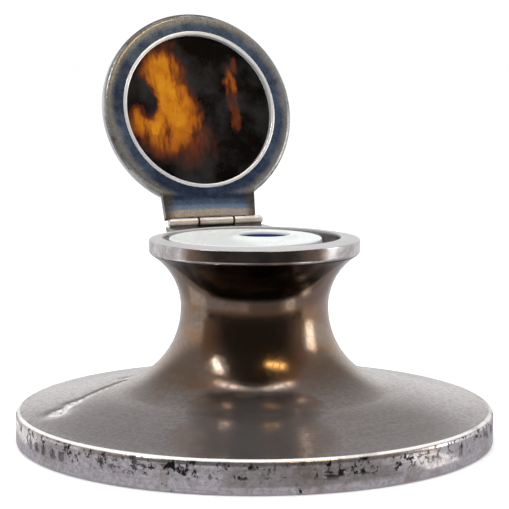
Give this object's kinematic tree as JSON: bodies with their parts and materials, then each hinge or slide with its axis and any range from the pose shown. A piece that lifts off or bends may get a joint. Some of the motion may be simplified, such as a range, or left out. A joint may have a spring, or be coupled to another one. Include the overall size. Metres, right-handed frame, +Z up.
{
  "type": "inkwell",
  "caption": "Capstan inkwell with a wide weighted base, a flared neck, a lift-out ceramic ink pot and a round hinged lid holding a tortoiseshell panel.",
  "frame": {"origin": "centre of the round base where it stands on the desk", "axes": "+Z up along the neck, +Y towards the lid's hinge, +X along the hinge pin to the right as seen from the front"},
  "size_m": [0.127, 0.127, 0.1125],
  "materials": {
    "spun_silver": "polished and toned, with fine wear",
    "collar_silver": "polished, worn edges",
    "hinge_silver": "worn bright, dark in the joints",
    "lid_silver": "polished, blue and brown toning",
    "bezel_silver": "bright polished",
    "sleeve_metal": "dull",
    "pitch_loading": "rough cast",
    "board_wood": "plain",
    "baize": "felted wool",
    "glazed_pot": "clear glaze",
    "tortoiseshell": "polished, mottled amber and dark brown"
  },
  "bodies": {
    "body": {"body_shell": "spun_silver", "foot_wire": "spun_silver", "collar_ring": "collar_silver", "hinge_plate": "hinge_silver", "left_body_knuckle": "hinge_silver", "right_body_knuckle": "hinge_silver", "hinge_pin": "hinge_silver", "well_sleeve": "sleeve_metal", "base_loading": "pitch_loading", "base_board": "board_wood", "base_pad": "baize", "ink_liner": "glazed_pot"},
    "lid": {"lid_frame": "lid_silver", "lid_bezel": "bezel_silver", "shell_panel": "tortoiseshell", "lid_tab": "lid_silver", "lid_knuckle": "hinge_silver"}
  },
  "joints": [
    {"name": "lid_hinge", "type": "hinge", "parent": "body", "child": "lid", "pos_m": [0, 0.03232, 0.0546], "axis": [1, 0, 0], "range_deg": [0, 106]}
  ]
}
